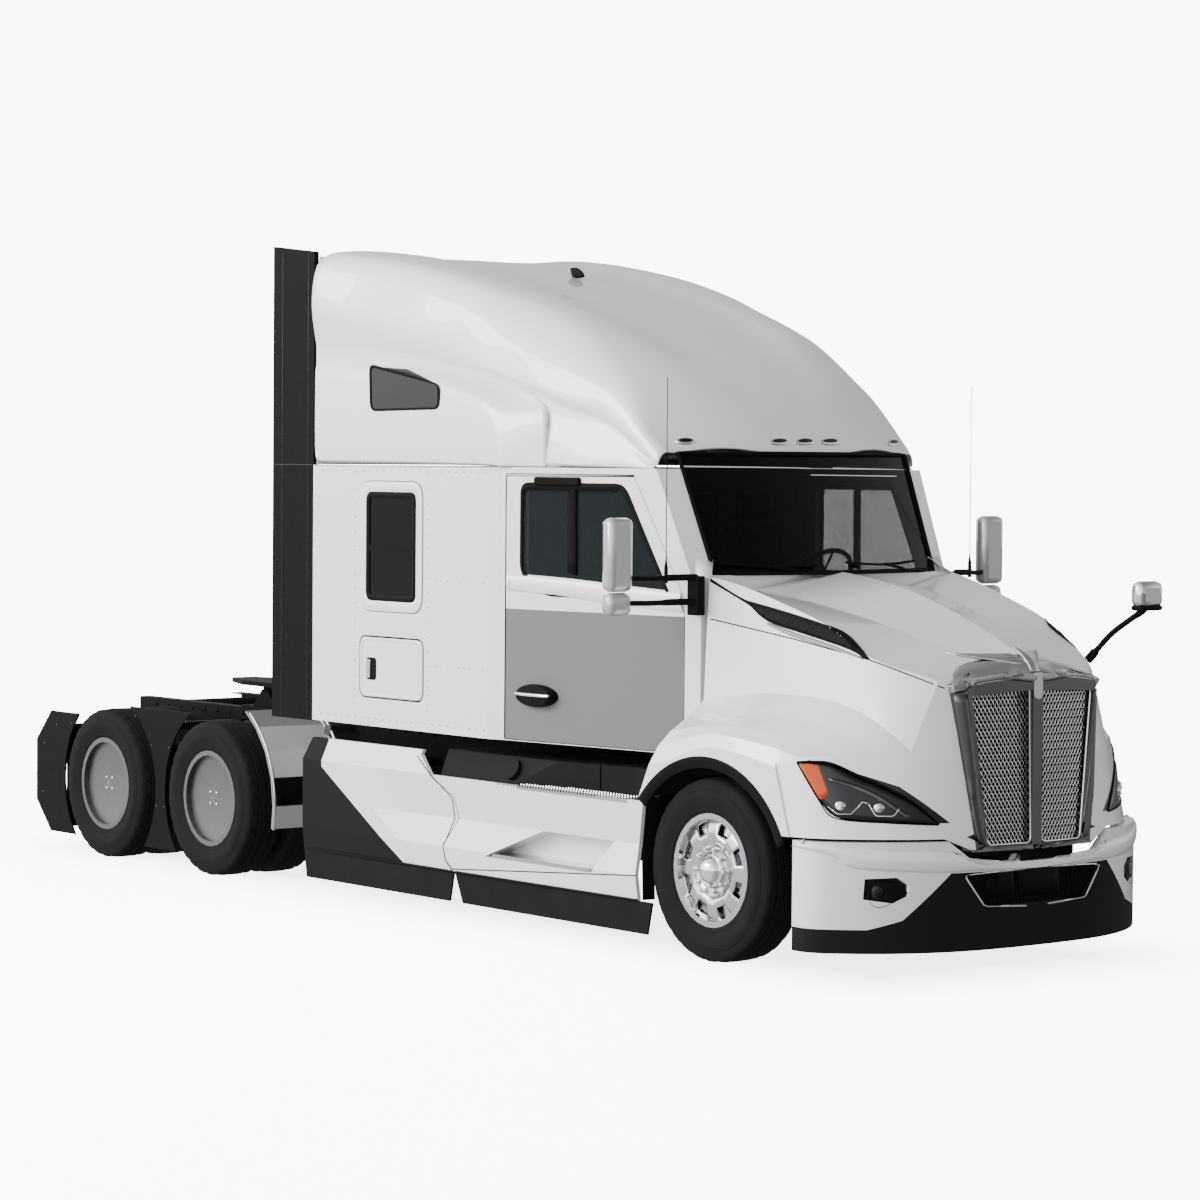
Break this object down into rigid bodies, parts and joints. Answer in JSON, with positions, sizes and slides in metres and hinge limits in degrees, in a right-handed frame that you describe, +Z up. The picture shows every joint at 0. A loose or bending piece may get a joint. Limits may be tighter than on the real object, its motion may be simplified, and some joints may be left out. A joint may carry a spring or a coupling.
{
  "type": "semi truck tractor unit",
  "caption": "Conventional road tractor with sloping hood, high-roof sleeper cab, side fairings, twin drive axles and a rocking fifth wheel.",
  "frame": {"origin": "on the ground below the middle of the overall length and width", "axes": "+Y towards the tail, the nose faces -Y, +X is the vehicle's left side, +Z up"},
  "size_m": [3.01, 8.69, 4.063],
  "materials": {
    "cab_paint": "gloss white",
    "hood_paint": "gloss silver white",
    "chassis_black": "satin black",
    "axle_iron": "painted black",
    "engine_grey": "painted grey",
    "tyre": "matt black",
    "skirt_rubber": "matt black",
    "polished_alloy": "polished",
    "cover_alloy": "satin grey",
    "bright_trim": "satin bright",
    "mesh_steel": "bright",
    "tinted_glass": "tinted",
    "trim_black": "grained black",
    "mirror_shell": "polished",
    "seat_cloth": "woven, dark",
    "bunk_cloth": "quilted, grey",
    "lamp_lens": "clear over dark",
    "tail_lamp_red": "red lens"
  },
  "bodies": {
    "root": {"frame_rails": "chassis_black", "crossmembers": "chassis_black", "front_axle_beam": "axle_iron", "drive_axles": "axle_iron", "suspension": "chassis_black", "engine_block": "engine_grey", "driveline": "axle_iron", "radiator": "chassis_black", "fuel_tanks": "polished_alloy", "fifth_wheel_base": "chassis_black", "deck_plate": "chassis_black", "quarter_fenders": "polished_alloy", "wheel_panels": "trim_black", "tail_lamps": "tail_lamp_red", "cab_shell": "cab_paint", "cab_glass": "tinted_glass", "roof_cap": "cab_paint", "roof_lamps": "lamp_lens", "side_extenders": "trim_black", "seats": "seat_cloth", "bunk": "bunk_cloth", "dashboard": "trim_black", "door_mirrors": "mirror_shell", "bumper_shell": "hood_paint", "bumper_valance": "trim_black", "bumper_grille": "trim_black", "fairings_front": "cab_paint", "fairings_rear": "cab_paint", "step_treads": "polished_alloy", "fairing_rubbers": "skirt_rubber"},
    "hood": {"hood_shell": "hood_paint", "headlamps": "lamp_lens", "grille_surround": "bright_trim", "grille_mesh": "mesh_steel", "fender_liners": "trim_black", "hood_mirror": "mirror_shell"},
    "door_left": {"door_left_shell": "cab_paint", "door_left_glass": "tinted_glass"},
    "luggage_left": {"luggage_door_left": "cab_paint"},
    "knuckle_left": {"knuckle_left": "axle_iron"},
    "front_wheel_left": {"front_tyre_left": "tyre", "front_rim_left": "polished_alloy"},
    "drive_wheel_1_left": {"drive_tyres_1_left": "tyre", "drive_rims_1_left": "cover_alloy"},
    "drive_wheel_2_left": {"drive_tyres_2_left": "tyre", "drive_rims_2_left": "cover_alloy"},
    "door_right": {"door_right_shell": "cab_paint", "door_right_glass": "tinted_glass"},
    "luggage_right": {"luggage_door_right": "cab_paint"},
    "knuckle_right": {"knuckle_right": "axle_iron"},
    "front_wheel_right": {"front_tyre_right": "tyre", "front_rim_right": "polished_alloy"},
    "drive_wheel_1_right": {"drive_tyres_1_right": "tyre", "drive_rims_1_right": "cover_alloy"},
    "drive_wheel_2_right": {"drive_tyres_2_right": "tyre", "drive_rims_2_right": "cover_alloy"},
    "fifth_wheel": {"fifth_wheel_plate": "chassis_black"}
  },
  "joints": [
    {"name": "hood_tilt", "type": "hinge", "parent": "root", "child": "hood", "pos_m": [0, -4.325, 0.64], "axis": [1, 0, 0], "range_deg": [0, 70]},
    {"name": "door_left", "type": "hinge", "parent": "root", "child": "door_left", "pos_m": [0.97457, -2.555, 1.4], "axis": [0, 0, -1], "range_deg": [0, 60]},
    {"name": "luggage_door_left", "type": "hinge", "parent": "root", "child": "luggage_left", "pos_m": [1.219, -0.392, 1.463], "axis": [0, 0, -1], "range_deg": [0, 90]},
    {"name": "steer_left", "type": "hinge", "parent": "root", "child": "knuckle_left", "pos_m": [0.88, -2.995, 0.507], "axis": [0, 0, 1], "range_deg": [-38, 38]},
    {"name": "front_wheel_left", "type": "hinge", "parent": "knuckle_left", "child": "front_wheel_left", "pos_m": [1.03, -2.995, 0.507], "axis": [1, 0, 0], "continuous": true},
    {"name": "drive_wheel_1_left", "type": "hinge", "parent": "root", "child": "drive_wheel_1_left", "pos_m": [0.9, 2.035, 0.507], "axis": [1, 0, 0], "continuous": true},
    {"name": "drive_wheel_2_left", "type": "hinge", "parent": "root", "child": "drive_wheel_2_left", "pos_m": [0.9, 3.355, 0.507], "axis": [1, 0, 0], "continuous": true},
    {"name": "door_right", "type": "hinge", "parent": "root", "child": "door_right", "pos_m": [-0.97457, -2.555, 1.4], "axis": [0, 0, 1], "range_deg": [0, 60]},
    {"name": "luggage_door_right", "type": "hinge", "parent": "root", "child": "luggage_right", "pos_m": [-1.219, -0.392, 1.463], "axis": [0, 0, 1], "range_deg": [0, 90]},
    {"name": "steer_right", "type": "hinge", "parent": "root", "child": "knuckle_right", "pos_m": [-0.88, -2.995, 0.507], "axis": [0, 0, 1], "range_deg": [-38, 38]},
    {"name": "front_wheel_right", "type": "hinge", "parent": "knuckle_right", "child": "front_wheel_right", "pos_m": [-1.03, -2.995, 0.507], "axis": [1, 0, 0], "continuous": true},
    {"name": "drive_wheel_1_right", "type": "hinge", "parent": "root", "child": "drive_wheel_1_right", "pos_m": [-0.9, 2.035, 0.507], "axis": [1, 0, 0], "continuous": true},
    {"name": "drive_wheel_2_right", "type": "hinge", "parent": "root", "child": "drive_wheel_2_right", "pos_m": [-0.9, 3.355, 0.507], "axis": [1, 0, 0], "continuous": true},
    {"name": "fifth_wheel_rock", "type": "hinge", "parent": "root", "child": "fifth_wheel", "pos_m": [0, 2.635, 1.13], "axis": [1, 0, 0], "range_deg": [-15, 15]}
  ],
  "couplings": [
    {"joint": "steer_right", "follows": "steer_left", "ratio": 1}
  ]
}
